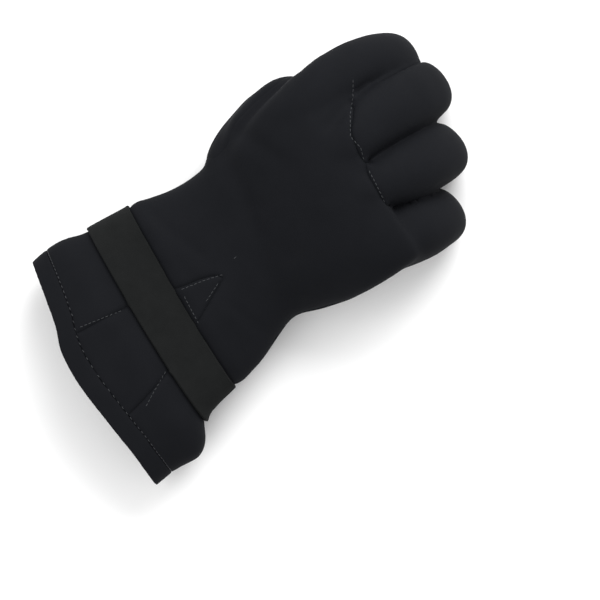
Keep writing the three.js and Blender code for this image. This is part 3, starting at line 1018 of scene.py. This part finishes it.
class MESH_OT_glove_stitches(bpy.types.Operator):
    """Makes the seam stitches that show"""

    bl_idname = "mesh.glove_stitches"
    bl_label = "Stitches"

    def execute(self, context):
        sizes = context.scene.glove_sizes
        stitch = context.scene.glove_stitch
        tree = skin_tree(context)
        chance = random.Random(7)
        for name, lines in THREADS.items():
            bm = bmesh.new()
            for line in lines:
                for x, y, angle in dense(line, stitch.pitch / MILLIMETRE):
                    above = Vector((x * MILLIMETRE, y * MILLIMETRE, 0.2))
                    place, normal, _, _ = tree.ray_cast(above, Vector((0, 0, -1)))
                    if place is None:
                        continue
                    along = Vector((math.cos(angle), math.sin(angle), 0))
                    add_stitch(bm, place, normal, along, stitch, chance.uniform(-0.15, 0.15))
            obj = link("stitches_" + name, bm)
            finish_piece(obj, thread_material(context.scene.glove_colours), "neoprene")
        bm = bmesh.new()
        for i in range(HEM_STITCHES):
            angle = 2 * math.pi * i / HEM_STITCHES
            guess = on_section(hand_station(sizes, 0.06), angle)
            x = (guess.x - sizes.shift_x) / sizes.width
            at = line_at(RIM, x) + 0.012 / sizes.length
            point = on_section(hand_station(sizes, at), angle)
            after = on_section(hand_station(sizes, at), angle + 0.01)
            place, normal = on_skin(tree, point, 0.0)
            add_stitch(bm, place, normal, after - point, stitch, chance.uniform(-0.1, 0.1))
        obj = link("stitches_hem", bm)
        finish_piece(obj, thread_material(context.scene.glove_colours), "neoprene")
        return {"FINISHED"}


class SCENE_OT_glove_stage(bpy.types.Operator):
    """Makes the floor, the lights and the camera"""

    bl_idname = "scene.glove_stage"
    bl_label = "Stage"

    def execute(self, context):
        colours = context.scene.glove_colours
        bm = bmesh.new()
        bmesh.ops.create_grid(bm, x_segments=1, y_segments=1, size=3.0)
        bmesh.ops.translate(bm, verts=bm.verts, vec=(0, 0, -0.0003))
        floor = link("floor", bm)
        material, tree, shader = new_material("pale_floor")
        if tree is not None:
            shader.inputs["Base Color"].default_value = linear(colours.floor)
            shader.inputs["Roughness"].default_value = 0.9
            shader.inputs["Specular IOR Level"].default_value = 0.1
        floor.data.materials.append(material)

        world = bpy.data.worlds.new("studio")
        world.use_nodes = True
        world.node_tree.nodes["Background"].inputs["Color"].default_value = (1, 1, 1, 1)
        world.node_tree.nodes["Background"].inputs["Strength"].default_value = 0.8
        context.scene.world = world
        context.scene.view_settings.view_transform = "Standard"

        # The photo looks straight down, with the fingers to its upper right.
        turn = math.radians(54)
        aim = Vector((0.0363, -0.0066, 0.03))
        data = bpy.data.cameras.new("camera")
        distance = 1.4
        data.sensor_width = 36
        data.lens = 36 * distance / 0.348
        camera = bpy.data.objects.new("camera", data)
        camera.location = aim + Vector((0, 0, distance))
        camera.rotation_euler = (0, 0, turn)
        context.scene.collection.objects.link(camera)
        context.scene.camera = camera

        right = Vector((math.cos(turn), math.sin(turn), 0))
        up = Vector((-math.sin(turn), math.cos(turn), 0))
        for name, place, size, power in (
            ("key", aim + up * 1.0 + right * 0.35 + Vector((0, 0, 0.8)), 0.9, 19.0),
            ("fill", aim - right * 0.9 - up * 0.3 + Vector((0, 0, 1.1)), 1.4, 7.0),
        ):
            lamp = bpy.data.lights.new(name, "AREA")
            lamp.energy = power
            lamp.size = size
            obj = bpy.data.objects.new(name, lamp)
            obj.location = place
            obj.rotation_euler = (aim - place).to_track_quat("-Z", "Y").to_euler()
            context.scene.collection.objects.link(obj)
        return {"FINISHED"}


class VIEW3D_PT_glove(bpy.types.Panel):
    """The glove's pieces in the sidebar"""

    bl_label = "Diving glove"
    bl_idname = "VIEW3D_PT_glove"
    bl_space_type = "VIEW_3D"
    bl_region_type = "UI"
    bl_category = "Glove"

    def draw(self, context):
        layout = self.layout
        for group in (context.scene.glove_sizes, context.scene.glove_strap, context.scene.glove_stitch):
            for key in group.__annotations__:
                layout.prop(group, key)
        for operator in OPERATORS:
            layout.operator(operator.bl_idname)


OPERATORS = (
    MESH_OT_glove_panels,
    MESH_OT_glove_strap,
    MESH_OT_glove_strap_end,
    MESH_OT_glove_stitches,
    SCENE_OT_glove_stage,
)
GROUPS = {
    "glove_sizes": GloveSizes,
    "glove_strap": StrapSizes,
    "glove_stitch": StitchSizes,
    "glove_colours": GloveColours,
}


def register():
    for cls in (*GROUPS.values(), *OPERATORS, VIEW3D_PT_glove):
        bpy.utils.register_class(cls)
    for name, group in GROUPS.items():
        setattr(bpy.types.Scene, name, bpy.props.PointerProperty(type=group))


def unregister():
    for name in GROUPS:
        delattr(bpy.types.Scene, name)
    for cls in reversed((*GROUPS.values(), *OPERATORS, VIEW3D_PT_glove)):
        bpy.utils.unregister_class(cls)


def main():
    register()
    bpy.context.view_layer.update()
    bpy.ops.mesh.glove_panels()
    bpy.ops.mesh.glove_strap()
    bpy.ops.mesh.glove_strap_end()
    bpy.ops.mesh.glove_stitches()
    bpy.ops.scene.glove_stage()
    bpy.data.meshes.remove(bpy.data.meshes[bpy.context.scene["glove_skin"]])


if __name__ == "__main__":
    main()
